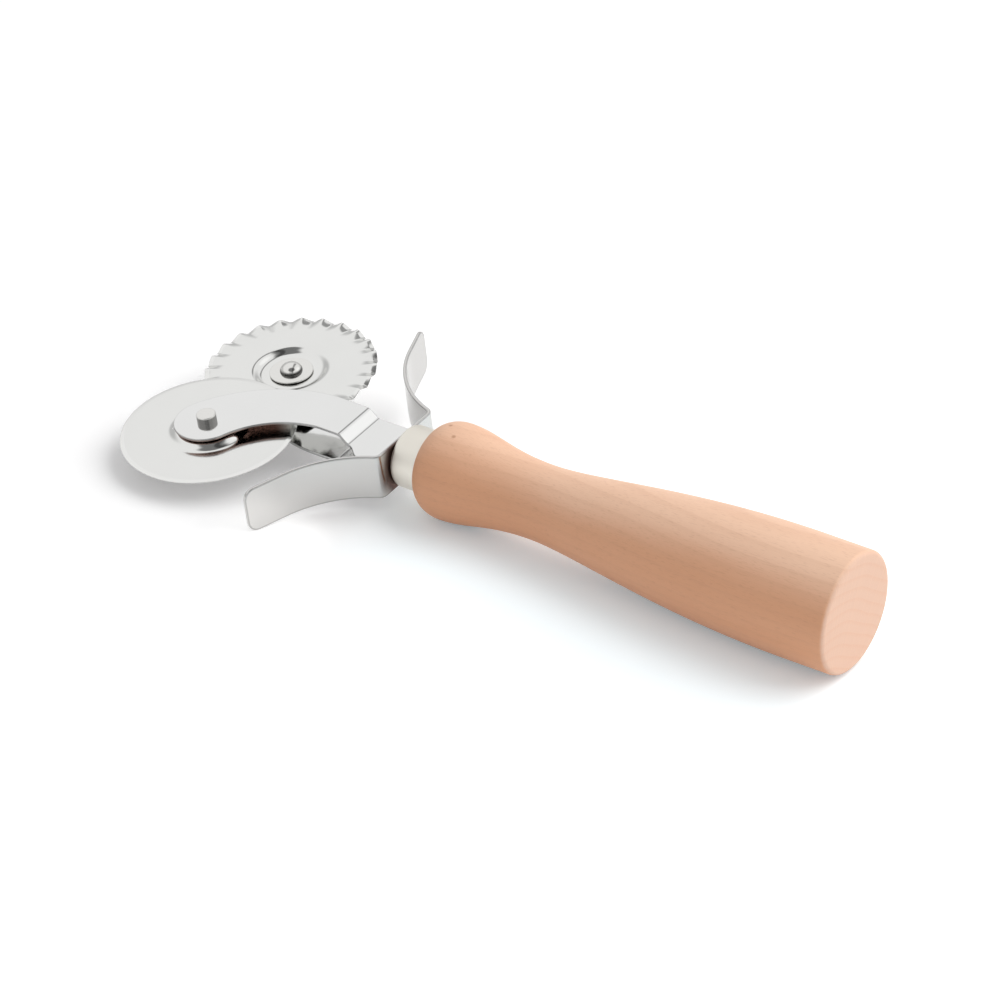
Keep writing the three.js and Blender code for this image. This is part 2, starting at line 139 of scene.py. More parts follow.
class WingSettings(bpy.types.PropertyGroup):
    """Sizes and colour of the bent strip with the two finger wings."""
    thickness: size("Thickness", 0.9, "Sheet thickness")
    width: size("Width", 12.5, "Width of the strip")
    web_half: size("Half web", 9.6, "Handle's axis to the start of each bend")
    bend_radius: size("Bend radius", 1.35, "Inside radius of the two bends")
    smooth_angle: angle("Smooth side angle", 24.8, "Wing's angle to the axis just past its bend")
    fluted_angle: angle("Fluted side angle", 17.5, "Wing's angle to the axis just past its bend")
    tip_angle: angle("Tip angle", 70, "Angle of both tips to the axis")
    sweep_radius: size("Sweep radius", 30, "Outside radius of the flared wings")
    tip_length: size("Tip length", 10.4, "Straight end of each wing")
    corner: size("Corner", 3, "Rounding of the tips' corners")
    edge: size("Edge", 0.26, "Rounding of the sheet's edges")
    metal: colour("Metal", 211, 210, 208, "Polished steel of the wings")
    # Painted shade: a dark brown band on the outer face of the web beside the ferrule, standing for
    # the dark crevice there and the shadowed wood that it mirrors.
    stain: colour("Painted web shade", 104, 85, 80, "Painted shade on the web beside the ferrule")
    web_shade_full: size("Shade full", 4, "Handle's axis to where the painted shade is full, on one side")
    web_shade_reach: size("Shade reach", 11.6, "Handle's axis to the end of the painted shade")
    web_shade_fade: size("Shade fade", 2.4, "Length over which the web's painted shade ends")


class ArmSettings(bpy.types.PropertyGroup):
    """Sizes and colour of the two joggled arms."""
    thickness: size("Thickness", 0.8, "Sheet thickness")
    near: size("Near edge", 5.4, "Handle's axis to the edge on the side that the arm sweeps to")
    far: size("Far edge", 7.3, "Handle's axis to the other edge")
    tip_radius: size("Tip radius", 8.45, "Round tip about the axle")
    straight: size("Straight", 23, "Web to where the arm starts to sweep sideways")
    flare: size("Flare", 3, "Extra width of the hub plate on the near side")
    flare_length: size("Flare length", 8.5, "Length of the wider part")
    flare_run: size("Flare run", 5, "Length over which the width falls back")
    joggle_from_web: size("Joggle position", 13.7, "Web to the foot of the joggle")
    joggle_run: size("Joggle run", 2.4, "Length of the joggle along the axis")
    joggle_softness: size("Joggle softness", 0.9, "Rounding on each side of a bend")
    plate_level: size("Hub plate level", 1.15, "Middle plane to the middle of the hub plate")
    blade_level: size("Blade level", 3.55, "Middle plane to the middle of the raised blade")
    edge: size("Edge", 0.2, "Rounding of the sheet's edges")
    metal: colour("Metal", 229, 229, 228, "Polished steel of the arms")
    # Painted shade: the face of each arm that its wheel turns under is coloured dark brown near the
    # axle, standing for the shade between arm and wheel that the wheel mirrors.
    inside: colour("Inside", 158, 134, 126, "Painted brown shade on the face that the wheel turns under")
    underside_shade_reach: size("Film reach", 21, "Axle to the end of the painted shade")
    underside_shade_fade: size("Film fade", 4, "Length over which the underside's painted shade ends")


class WheelSettings(bpy.types.PropertyGroup):
    """Sizes and colours of the smooth and the fluted wheel."""
    radius: size("Radius", 22.5, "Cutting radius of both wheels")
    thickness: size("Thickness", 0.5, "Sheet thickness")
    edge: size("Edge", 0.2, "Thickness left at the cutting edge")
    bevel: size("Bevel", 1.2, "Width of the ground bevel")
    from_web: size("Axle position", 49.7, "Web to both axles, along the handle's axis")
    offset: size("Axle offset", 16.5, "Handle's axis sideways to each axle")
    level: size("Level", 0.9, "Middle plane to the middle of each disc")
    bore: size("Bore", 2.35, "Radius of the hole")
    boss_radius: size("Boss foot", 10.8, "Radius of the pressed boss at its foot")
    boss_top_radius: size("Boss top", 7.2, "Radius of the boss's flat top")
    boss_height: size("Boss height", 1.4, "Height of the pressed boss")
    flutes: IntProperty(name="Flutes", description="Waves round the fluted rim", default=24, min=6)
    flute_length: size("Flute length", 4.7, "Measured in from the rim")
    flute_swing: size("Flute swing", 0.6, "To each side of the disc, at the rim")
    flute_crease: share("Flute crease", 0.94, "0 gives round waves, 1 gives sharp folds")
    flute_turn: angle("Flute turn", 6.5, "Where the first crest stands")
    metal: colour("Metal", 228, 228, 226, "Polished steel of the wheels")


class AxleSettings(bpy.types.PropertyGroup):
    """Sizes and colour of the axles and washers; levels are above the middle plane."""
    radius: size("Radius", 2.1, "Journal radius")
    shoulder_radius: size("Shoulder radius", 2.5, "Shoulder and plain end")
    dome_radius: size("Dome radius", 2.95, "Domed end under the washer")
    dome_height: size("Dome height", 2, "Height of the domed end")
    end_length: size("End length", 1.9, "Plain end that stands above the arm")
    end_rounding: size("End rounding", 0.25, "Rounding of the plain end's rim")
    shoulder_bottom: size("Shoulder level", 2.8, "Underside of the shoulder")
    washer_radius: size("Washer radius", 5.7, "Outside radius of the washer")
    washer_bore: size("Washer bore", 2.22, "Hole of the washer")
    washer_bottom: size("Washer level", 1.4, "Underside of the washer")
    washer_top: size("Washer top level", 1.8, "Top of the washer")
    washer_rounding: size("Washer rounding", 0.12, "Rounding of the washer's edges")
    metal: colour("Metal", 226, 225, 222, "Turned steel of the pins and washers")


class StageSettings(bpy.types.PropertyGroup):
    """Floor, light and camera."""
    roll: angle("Roll", 8.415, "How far the tool leans over onto a wing's corner")
    pitch: angle("Pitch", 1.655, "How far the tool lies nose down")
    drop: size("Drop", 15.6615, "Handle's axis at the butt to the floor")
    floor_colour: colour("Floor", 250, 250, 250, "Pale paper that the tool lies on")
    lift: colour("Paper lift", 91, 90, 91, "How far the paper is lifted to white near the wheels")
    # Painted light: a brighter glow that thins the wing's shadow, and a cooler one that offsets the
    # wood's warm bounce on the paper.
    wing_painted_light: colour("Wing painted light", 158, 158, 158, "The same beside the smooth side's wing")
    cool_painted_light: colour("Cool painted light", 107, 130, 138, "The same beside the wood")
    far_wall: light("Far wall", 1, "Brightness of the wall that polished metal mirrors")
    key_power: light("Key light", 30, "Power of the large soft lamp, in watts")
    fill_level: light("Fill", 0.57, "Level of the surroundings' even light")
    lens: FloatProperty(name="Lens", default=116.489, min=1.0,
                        description="Focal length on a 36 mm wide frame, in millimetres")


class CutterSettings(bpy.types.PropertyGroup):
    """All settings of the pasta cutter."""
    handle: PointerProperty(type=HandleSettings)
    ferrule: PointerProperty(type=FerruleSettings)
    wings: PointerProperty(type=WingSettings)
    arms: PointerProperty(type=ArmSettings)
    wheels: PointerProperty(type=WheelSettings)
    axles: PointerProperty(type=AxleSettings)
    stage: PointerProperty(type=StageSettings)


# ---------------------------------------------------------------- curves and surfaces

def line(start, end, count=2):
    """Points in even steps on a straight line."""
    return np.linspace(start, end, count)


def arc(centre, radii, first, last, count):
    """Points on an ellipse: centre + (rx cos a, ry sin a), for the angle a in even steps."""
    a = np.linspace(first, last, count)
    return np.stack([centre[0] + radii[0] * np.cos(a), centre[1] + radii[1] * np.sin(a)], axis=1)


def bezier(points, count):
    """Bezier curve of any degree: each control point times its Bernstein weight, summed."""
    control = np.array(points, float)
    degree = len(control) - 1
    t = np.linspace(0, 1, count)[:, None]
    k = np.arange(degree + 1)
    choose = np.array([math.comb(degree, i) for i in range(degree + 1)])
    return (choose * t ** k * (1 - t) ** (degree - k)) @ control


def turned(profile, segments):
    """Surface of revolution: the point (radius, height) at the angle a lies at
    (radius cos a, radius sin a, height)."""
    a = np.arange(segments) * TURN / segments
    radius, height = profile[:, 0, None], profile[:, 1, None]
    return np.stack([radius * np.cos(a), radius * np.sin(a), height + 0 * a], axis=-1)


def turned_on_handle(profile, segments):
    """The same surface with its axis along the handle's."""
    return turned(profile, segments)[..., [2, 0, 1]]


def grid_faces(index, around):
    """Quads between neighbouring entries of a grid of vertex numbers; around joins its last column
    to the first."""
    if around:
        index = np.concatenate([index, index[:, :1]], axis=1)
    return np.stack([index[:-1, :-1], index[1:, :-1], index[1:, 1:], index[:-1, 1:]],
                    axis=-1).reshape(-1, 4)


SAME_PLACE = 1e-4 * MM           # points nearer than this are one
SMOOTH_UNDER = math.radians(35)  # faces that meet at less are shaded as one


def solid_piece(name, points, quads, layers):
    """A closed mesh object: equal points become one, quads that lost a corner become triangles,
    and all faces are turned outwards if the enclosed volume comes out negative.
    layers holds a named number for each point, or a vector, which finishes may read."""
    flat = points.reshape(-1, 3)
    _, first, merged = np.unique(np.round(flat / SAME_PLACE).astype(np.int64), axis=0,
                                 return_index=True, return_inverse=True)
    spots = flat[first]
    quads = merged.reshape(-1)[quads]
    kept = quads != np.roll(quads, -1, axis=1)
    full = quads[kept.all(axis=1)]
    cut = kept.sum(axis=1) == 3
    triangles = quads[cut][kept[cut]].reshape(-1, 3)
    halves = np.concatenate([full[:, [0, 1, 2]], full[:, [0, 2, 3]], triangles])
    corner = spots[halves]
    volume = np.einsum("ij,ij->i", corner[:, 0], np.cross(corner[:, 1], corner[:, 2])).sum()
    if volume < 0:
        full, triangles = full[:, ::-1], triangles[:, ::-1]
    mesh = bpy.data.meshes.new(name)
    mesh.from_pydata(spots.tolist(), [], full.tolist() + triangles.tolist())
    mesh.polygons.foreach_set("use_smooth", np.ones(len(mesh.polygons), bool))
    mesh.set_sharp_from_angle(angle=SMOOTH_UNDER)
    for title, values in layers.items():
        is_vector = values.ndim == points.ndim
        kind, field = ("FLOAT_VECTOR", "vector") if is_vector else ("FLOAT", "value")
        picked = values.reshape(len(flat), -1)[first].astype(np.float32)
        mesh.attributes.new(title, kind, "POINT").data.foreach_set(field, picked.reshape(-1))
    mesh.validate()
    piece = bpy.data.objects.new(name, mesh)
    bpy.context.scene.collection.objects.link(piece)
    return piece


def turned_piece(name, grid, worn=0):
    """A turned surface as a piece; its profile starts and ends on the axis, or ends where it
    started. A flat beside a rounding starts a little way off, so that it is shaded flat.
    worn is the wear of each ring, and on the axles the painted shade of each ring."""
    index = np.arange(grid.shape[0] * grid.shape[1]).reshape(grid.shape[:2])
    wear = np.broadcast_to(np.reshape(worn, (-1, 1)), grid.shape[:2])
    return solid_piece(name, grid, grid_faces(index, True), {"wear": wear})


def sheet_piece(name, upper, lower, layers):
    """A piece of sheet: two faces on the same grid, joined by walls along the four sides.
    A layer holds values for both faces, or a tuple of one array for each."""
    rows, columns = upper.shape[:2]
    top = np.arange(rows * columns).reshape(rows, columns)
    bottom = top + rows * columns
    ring = np.concatenate([top, bottom[:, ::-1]], axis=1)
    ends = [grid_faces(np.stack([top[row], bottom[row]]), False)[:, ::way]
            for row, way in ((0, -1), (-1, 1))]
    quads = np.concatenate([grid_faces(ring, True), *ends])
    doubled = {title: np.stack(values if isinstance(values, tuple) else (values, values))
               for title, values in layers.items()}
    return solid_piece(name, np.stack([upper, lower]), quads, doubled)


EDGE_ROWS = 6
FLAT_ROWS = (1.35, 2.2)      # rows past a rounded edge, in roundings from the edge
STRIP_EDGE = 0.05            # largest share of a strip's width for the rows of one edge
STRIP_MIDDLE = (0.07, 0.93)  # shares of the width between which the steps are even


def edge_steps(rounding):
    """Distances from an edge at which a rounded edge needs its rows of points."""
    return rounding * np.append(1 - np.cos(np.linspace(0, QUARTER, EDGE_ROWS)), FLAT_ROWS)


def rounded_half(distance, thickness, rounding):
    """Half of the sheet's thickness at a distance from its edge: a quarter circle, then flat."""
    inside = np.maximum(rounding - distance, 0)
    return thickness / 2 - rounding + np.sqrt(np.maximum(rounding ** 2 - inside ** 2, 0))


def sheared_edge_shade(distance, rounding, at_edge, inside):
    """Wear and painted shade of a sheared edge: at_edge on the edge itself, inside where its
    rounding ends, and falling evenly to 0 at twice that distance."""
    return np.interp(distance / rounding, (0, 1, 2), (at_edge, inside, 0))


def across(left, right, rounding, inner=15):
    """Offsets across a strip from -right to +left, in every row: the rows of a rounded edge on both
    sides, drawn together where the strip is narrow, and even steps between."""
    steps = edge_steps(rounding)
    near = np.minimum(1, STRIP_EDGE * (left + right) / steps[-1])[:, None]
    low = -right[:, None] + steps * near
    high = left[:, None] - steps[::-1] * near
    part = np.linspace(*STRIP_MIDDLE, inner)
    middle = -right[:, None] + (left + right)[:, None] * part
    return np.concatenate([low, middle, high], axis=1)


def sheet_run(places, offset):
    """Length along a sheet's middle line and offset across it, at each point, in millimetres."""
    walk = np.append(0, np.cumsum(np.hypot(*np.diff(places, axis=0).T)))[:, None]
    return np.stack([walk + 0 * offset, offset, 0 * offset], axis=-1) / MM


def lower_half(grid):
    """The same shape half a turn about the handle's axis."""
    return grid * np.array([1, -1, -1])


SIDES = (("smooth", np.asarray), ("fluted", lower_half))  # how each side's pieces are turned


def web_front(cutter):
    """Butt face to the front of the wing strip's web, where the arms start."""
    return cutter.handle.length + cutter.ferrule.length + cutter.wings.thickness


def axle_place(cutter, level=0.0):
    """The smooth wheel's axle at a level above the middle plane."""
    return np.array([web_front(cutter) + cutter.wheels.from_web, cutter.wheels.offset, level])


# ---------------------------------------------------------------- shader expressions

class Socket:
    """A shader socket that takes part in Python arithmetic."""

    def __init__(self, tree, socket):
        self.tree, self.socket = tree, socket

    def _math(self, operation, first, second):
        return self.tree.node("ShaderNodeMath", {"operation": operation}, {0: first, 1: second})

    def __add__(self, other): return self._math("ADD", self, other)
    def __radd__(self, other): return self._math("ADD", other, self)
    def __sub__(self, other): return self._math("SUBTRACT", self, other)
    def __rsub__(self, other): return self._math("SUBTRACT", other, self)
    def __mul__(self, other): return self._math("MULTIPLY", self, other)
    def __rmul__(self, other): return self._math("MULTIPLY", other, self)
    def __truediv__(self, other): return self._math("DIVIDE", self, other)
    def __rtruediv__(self, other): return self._math("DIVIDE", other, self)
    def __pow__(self, other): return self._math("POWER", self, other)
    def __rpow__(self, other): return self._math("POWER", other, self)


class Tree:
    """Nodes of a material or of the world."""

    def __init__(self, owner):
        owner.use_nodes = True
        self.owner, self.nodes, self.links = owner, owner.node_tree.nodes, owner.node_tree.links
        self.nodes.clear()

    def node(self, kind, settings=None, sockets=None, output=0):
        """Adds a node: its settings first, then the values or links of its sockets."""
        made = self.nodes.new(kind)
        for key, value in (settings or {}).items():
            setattr(made, key, value)
        for key, value in (sockets or {}).items():
            if isinstance(value, Socket):
                self.links.new(value.socket, made.inputs[key])
            else:
                made.inputs[key].default_value = value
        return Socket(self, made.outputs[output]) if len(made.outputs) else made

    def millimetres(self):
        """Object coordinates in millimetres."""
        place = self.node("ShaderNodeTexCoord", output="Object")
        return self.vector("SCALE", place, {3: 1 / MM})

    def vector(self, operation, first, sockets, output=0):
        """Vector arithmetic on first."""
        return self.node("ShaderNodeVectorMath", {"operation": operation}, {0: first, **sockets},
                         output)

    def stretch(self, vector, factors):
        """A vector with each part scaled on its own."""
        return self.vector("MULTIPLY", vector, {1: factors})

    def parts(self, vector):
        """The three parts of a vector."""
        split = self.node("ShaderNodeSeparateXYZ", sockets={0: vector}).socket.node
        return [Socket(self, out) for out in split.outputs]

    def distance(self, place, spot):
        """How far a place lies from a spot."""
        return self.vector("DISTANCE", place, {1: spot}, "Value")

    def noise(self, vector, factors, detail=2.0, roughness=0.5):
        """Smooth noise about 0.5, with so many features to one unit of each part of a vector."""
        return self.node("ShaderNodeTexNoise", {"noise_dimensions": "3D"},
                         {"Vector": self.stretch(vector, factors), "Scale": 1.0,
                          "Detail": detail, "Roughness": roughness})

    def noise_line(self, value, detail=2.0):
        """Smooth noise along one number."""
        return self.node("ShaderNodeTexNoise", {"noise_dimensions": "1D"},
                         {"W": value, "Scale": 1.0, "Detail": detail})

    def step(self, value, low, high):
        """Rises softly from 0 at low to 1 at high; falls if low is above high."""
        return self.node("ShaderNodeMapRange", {"interpolation_type": "SMOOTHSTEP"},
                         {0: value, 1: low, 2: high, 3: 0.0, 4: 1.0})

    def mix(self, factor, first, second):
        """A colour between two others."""
        first, second = ((*c, 1) if not isinstance(c, Socket) else c for c in (first, second))
        return self.node("ShaderNodeMix", {"data_type": "RGBA"},
                         {0: factor, 6: first, 7: second}, 2)

    def tints(self, base, *coats):
        """A colour under coats of others, each with its mask, its strength and its colour."""
        for mask, strength, tint in coats:
            base = self.mix(mask * strength, base, tint)
        return base

    def rays(self):
        """Two switches: 1 on a camera's rays, and 1 on a mirror's."""
        path = self.node("ShaderNodeLightPath").socket.node.outputs
        return [Socket(self, path[name]) for name in ("Is Camera Ray", "Is Glossy Ray")]

    def attribute(self, name, output):
        """A piece's own value at each point."""
        return self.node("ShaderNodeAttribute", {"attribute_name": name}, output=output)

    def surface(self, base, roughness, height, relief, constants):
        """The finished surface: colour, roughness and a bump of the given relief in metres."""
        bump = self.node("ShaderNodeBump", None,
                         {"Height": height, "Distance": relief, "Strength": 1.0}, "Normal")
        shader = self.node("ShaderNodeBsdfPrincipled", None,
                           {"Base Color": base, "Roughness": roughness, "Normal": bump,
                            **constants})
        self.node("ShaderNodeOutputMaterial", None, {"Surface": shader})
        return self.owner


def finish(name):
    """An empty material's nodes."""
    return Tree(bpy.data.materials.new(name))


# The wood's measures are in millimetres. Its noises have so many features to the millimetre along
# the handle, aside and up.
PITH_ASIDE, PITH_UP = 21.0, -34.0
RING_WIDTH, RING_WARP = 2.7, 4.0
# Painted shade: the wood grows darker and warmer towards +Y and down, over this reach in
# millimetres.
SHADED_SIDE, SHADED_REACH = (0.8, -0.6), 9.0
WARM_NOSE = (70.0, 95.0)
END_GRAIN = (0.9, 0.15)
RAYS_PER_RADIAN = 90.0
PIN_KNOTS = ((114.5, -2.0, 12.0), (111.0, 1.5, 12.2))
KNOT_RADII = (0.75, 0.2)
WARPS, CLOUDS = (0.012, 0.045, 0.045), (0.016, 0.11, 0.11)
FIBRES, FLECKS, PORES = (0.05, 3.4, 3.4), (0.55, 4.6, 4.6), (0.3, 5.5, 5.5)


def beech(settings):
    """Sanded, bare beech: growth rings about a pith outside the handle, painted shade that makes it
    darker and warmer towards +Y and down, warmer towards the nose, long fibres, short ray flecks,
    two pin knots, and on the butt the rings, rays and pores of the cut end."""
    tree = finish("sanded_beech")
    place = tree.millimetres()
    along, side, up = tree.parts(place)
    off_side, off_up = side - PITH_ASIDE, up - PITH_UP
    pith = (off_side * off_side + off_up * off_up) ** 0.5
    growth = (pith + tree.noise(place, WARPS, 1.0) * RING_WARP) / RING_WIDTH
    rings = tree.node("ShaderNodeMath", {"operation": "FRACT"}, {0: growth})
    late = tree.step(rings, 0.5, 0.93) * tree.step(rings, 1.0, 0.94)
    # Painted shade on the lower side, mixed with the wood's own clouds of tone.
    lower_side_shade = tree.step(side * SHADED_SIDE[0] + up * SHADED_SIDE[1], -SHADED_REACH, SHADED_REACH)
    clouds = tree.noise(place, CLOUDS, 3.0)
    tone_and_shade = lower_side_shade * 0.75 + clouds * 0.5 + tree.step(along, *WARM_NOSE) * 0.2 - 0.12
    fibres = tree.noise(place, FIBRES, 3.0, 0.6)
    flecks = tree.step(tree.noise(place, FLECKS, 0.0), 0.62, 0.74)
    pores = tree.step(tree.noise(place, PORES, 1.0), 0.56, 0.72)
    fan = tree.node("ShaderNodeMath", {"operation": "ARCTAN2"}, {0: off_up, 1: off_side})
    rays = tree.step(tree.noise_line(fan * RAYS_PER_RADIAN, 1.0), 0.56, 0.72)
    knots = [tree.step(tree.distance(place, knot), *KNOT_RADII) for knot in PIN_KNOTS]
    long_grain = tree.tints(
        tree.mix(tree.step(tone_and_shade, 0.0, 1.0), settings.wood_pale, settings.wood_warm_and_shade),
        (late, 0.15, settings.wood_late),
        (tree.step(fibres, 0.48, 0.8), 0.18, settings.wood_late),
        (flecks, 0.18, settings.wood_fleck),
        *((knot, 0.7, settings.wood_fleck) for knot in knots))
    end_grain = tree.tints(
        settings.wood_end,
        (late, 0.18, settings.wood_warm_and_shade),
        (rays, 0.22, settings.wood_pale),
        (pores, 0.3, settings.wood_late))
    butt = tree.step(along, *END_GRAIN)
    roughness = 0.56 + (fibres - 0.5) * 0.2 - flecks * 0.06 + butt * 0.08
    height = fibres * 0.5 + (1 - flecks) * 0.25 + (1 - pores) * 0.25
    return tree.surface(tree.mix(butt, long_grain, end_grain), roughness, height, 0.03 * MM,
                        {"Specular IOR Level": 0.35})


GROUND, PAINTED_EDGE_SHADE, PAINTED_AXLE_SHADE = 1.1, 0.55, 0.16  # shade of the ground bevel beside the polished metal; painted shade on sheared edges and axle ends
SMUDGES = (0.09, 0.09, 0.09)               # features to the millimetre, as in the wood
SHEET_MARKS, BAR_MARKS = (0.05, 7.0, 0.0), (0.08, 4.0, 4.0)
WHEEL_RINGS, WHEEL_WANDER = 6.0, (0.05, 0.05, 0.0)
CAP_RINGS, CAP_WANDER = 9.0, (0.0, 0.08, 0.08)


def shaded(metal, factor):
    """A metal's colour made darker or paler."""
    return tuple(min(1.0, factor * part) for part in metal)


def steel(name, metal, marks, *, roughness, spread, relief, edge=GROUND, stain=None):
    """Bright metal: fine parallel polishing marks given as noise, which spread its roughness and
    stand up by the relief, broad smudges, and rougher metal where its wear attribute marks it,
    paler by the factor edge on a ground bevel and darker as painted shade along sheared edges and
    on the axles' ends. A second attribute lays painted shade in its own colour on the wing strip's
    web and under the arms."""
    tree = finish(name)
    place = tree.millimetres()
    lines = marks(tree, place)
    smudge = tree.noise(place, SMUDGES, 3.0)
    wear = tree.attribute("wear", "Fac")
    base = tree.mix((smudge - 0.5) * 0.5 + 0.3, metal, shaded(metal, 0.93))
    base = tree.mix(tree.step(lines, 0.5, 0.9) * 0.1, base, shaded(metal, 0.8))
    base = tree.mix(wear, base, shaded(metal, edge))
    if stain:
        base = tree.mix(tree.attribute("stain", "Fac"), base, stain)
    rough = roughness + (lines - 0.5) * spread + (smudge - 0.5) * 0.08 + wear * 0.06
    return tree.surface(base, rough, lines, relief, {"Metallic": 1.0})


def lengthwise(tree, place):
    """Polishing marks along the sheet, by its own run attribute in millimetres."""
    return tree.noise(tree.attribute("run", "Vector"), SHEET_MARKS, 3.0, 0.6)


def round_axle(axle):
    """Polishing marks in rings about an axle, whose place is in metres."""
    def marks(tree, place):
        from_axle = tree.vector("SUBTRACT", place, {1: tuple(axle / MM)})
        flat = tree.stretch(from_axle, (1.0, 1.0, 0.0))
        radius = tree.vector("LENGTH", flat, {}, "Value")
        return tree.noise_line(radius * WHEEL_RINGS + tree.noise(flat, WHEEL_WANDER) * 0.6, 4.0)
    return marks


def round_handle_axis(tree, place):
    """Turning marks round the handle's axis."""
    along, _, _ = tree.parts(place)
    return tree.noise_line(along * CAP_RINGS + tree.noise(place, CAP_WANDER) * 0.5, 4.0)


def rolled(tree, place):
    """Rolling marks along the handle's axis."""
    return tree.noise(place, BAR_MARKS, 3.0)


# ---------------------------------------------------------------- operators

NODE_FIT = 0.4 * MM  # how far a piece's box may differ from its node's


def settle(piece, body, node, material):
    """Gives a piece its finish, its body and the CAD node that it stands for."""
    piece.data.materials.append(material)
    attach(piece, body)
    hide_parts(node)
    low, high = (np.array(corner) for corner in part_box(node))
    corners = np.array([vertex.co for vertex in piece.data.vertices])
    miss = max(np.abs(corners.min(0) - low).max(), np.abs(corners.max(0) - high).max())
    if miss > NODE_FIT:
        raise ValueError(f"{piece.name} is {miss / MM:.2f} mm off the node {node}")


DRILL_POINT = 0.7  # depth of the bore's pointed end, in radii of the bore


class CUTTER_OT_handle(bpy.types.Operator):
    """Turn the wooden handle: butt, belly, waist, bulb, nose, tenon and bore"""
    bl_idname = "cutter.handle"
    bl_label = "Turn the handle"

    def execute(self, context):
        settings, ferrule = context.scene.pasta_cutter.handle, context.scene.pasta_cutter.ferrule
        end, rounding = settings.length, settings.butt_rounding
        rim = settings.butt_radius - rounding
        belly = np.array([settings.belly_radius, settings.belly_from_butt])
        waist = np.array([settings.waist_radius, end - settings.waist_from_shoulder])
        bulb = np.array([settings.bulb_radius, end - settings.bulb_from_shoulder])
        tenon = ferrule.radius - ferrule.wall - ferrule.tenon_fit
        tenon_end = end + ferrule.length - ferrule.wall - ferrule.tenon_fit
        bore, bore_end = settings.bore_radius, end - settings.bore_depth
        profile = np.concatenate([
            line((0, 0), (rim, 0), 24),
            arc((rim, rounding), (rounding, rounding), -QUARTER, 0, 12),
            line((settings.butt_radius, 1.2 * rounding), belly, 12),
            bezier([belly, belly + (0, settings.belly_pull),
                    waist - (0, settings.waist_pull), waist], 70),
            bezier([waist, waist + (0, settings.waist_pull),
                    bulb - (0, settings.bulb_pull), bulb], 40),
            arc((ferrule.radius, bulb[1]),
                (settings.bulb_radius - ferrule.radius, settings.bulb_from_shoulder),
                0, QUARTER, 24),
            line((ferrule.radius, end), (tenon, end)),
            line((tenon, tenon_end), (bore, tenon_end)),
            line((bore, bore_end), (0, bore_end - DRILL_POINT * bore)),
        ])
        grid = turned_on_handle(profile, 192)
        piece = turned_piece("handle_turned", grid)
        settle(piece, "tool", "handle", beech(settings))
        return {"FINISHED"}


FERRULE_LIP = 0.25 * MM  # rounding of the rim against the wood


class CUTTER_OT_ferrule(bpy.types.Operator):
    """Draw the metal cap between the wood and the head"""
    bl_idname = "cutter.ferrule"
    bl_label = "Draw the ferrule"

    def execute(self, context):
        settings, handle = context.scene.pasta_cutter.ferrule, context.scene.pasta_cutter.handle
        back, front = handle.length, handle.length + settings.length
        radius, rounding, lip = settings.radius, settings.rounding, FERRULE_LIP
        inner, rim, inner_front = radius - settings.wall, radius - rounding, front - settings.wall
        profile = np.concatenate([
            line((inner, back), (radius - lip, back)),
            arc((radius - lip, back + lip), (lip, lip), -QUARTER, 0, 8),
            line((radius, back + 2 * lip), (radius, front - 1.5 * rounding), 6),
            arc((rim, front - rounding), (rounding, rounding), 0, QUARTER, 14),
            line((0.94 * rim, front), (handle.bore_radius, front), 4),
            line((handle.bore_radius, inner_front), (inner, inner_front)),
            line((inner, back), (inner, back), 1),
        ])
        piece = turned_piece("ferrule_drawn", turned_on_handle(profile, 160))
        metal = steel("satin_ferrule", settings.metal, round_handle_axis,
                      roughness=0.55, spread=0.12, relief=0.004 * MM)
        settle(piece, "tool", "ferrule", metal)
        return {"FINISHED"}


def wing_rows(settings, root, web_back):
    """One half of the wing strip's middle line in plan, from the web's middle to a tip.
    Gives the places, the unit normals out of the U, and the lengths left to the tip: a straight, a
    tight bend, a wide sweep back outwards and a straight end, each with its own even steps."""
    half_sheet = settings.thickness / 2
    outside = settings.bend_radius + settings.thickness
    bend = outside - half_sheet
    sweep = settings.sweep_radius + half_sheet
    bend_centre = np.array([web_back + outside, settings.web_half])
    facing = np.array([-math.sin(root), math.cos(root)])
    sweep_centre = bend_centre + (outside + settings.sweep_radius) * facing
    ends = np.sort(np.concatenate([edge_steps(settings.edge),
                                   settings.corner * (1 - np.cos(np.linspace(0.3, QUARTER, 14)))]))
    left = np.concatenate([np.linspace(settings.tip_length, ends[-1] * 1.2, 8), ends[::-1]])
    web = np.linspace(0, settings.web_half, 14, endpoint=False)
    turn = np.linspace(math.pi, QUARTER + root, 18, endpoint=False)
    swing = np.linspace(root - QUARTER, settings.tip_angle - QUARTER, 44, endpoint=False)
    tip = np.array([math.cos(settings.tip_angle), math.sin(settings.tip_angle)])
    tip_normal = np.array([-math.sin(settings.tip_angle), math.cos(settings.tip_angle)])
    tip_start = sweep_centre - sweep * tip_normal
    turn_normal = np.stack([np.cos(turn), np.sin(turn)], axis=1)
    swing_normal = -np.stack([np.cos(swing), np.sin(swing)], axis=1)
    places = np.concatenate([
        np.stack([np.full_like(web, web_back + half_sheet), web], axis=1),
        bend_centre + bend * turn_normal,
        sweep_centre - sweep * swing_normal,
        tip_start + (settings.tip_length - left)[:, None] * tip,
    ])
    normals = np.concatenate([np.tile([-1.0, 0.0], (len(web), 1)), turn_normal, swing_normal,
                              np.tile(tip_normal, (len(left), 1))])
    swing_length = sweep * (settings.tip_angle - root)
    turn_length = bend * (QUARTER - root)
    rest = np.concatenate([
        settings.web_half - web + turn_length + swing_length + settings.tip_length,
        (turn - QUARTER - root) * bend + swing_length + settings.tip_length,
        (settings.tip_angle - QUARTER - swing) * sweep + settings.tip_length,
        left,
    ])
    return places, normals, rest


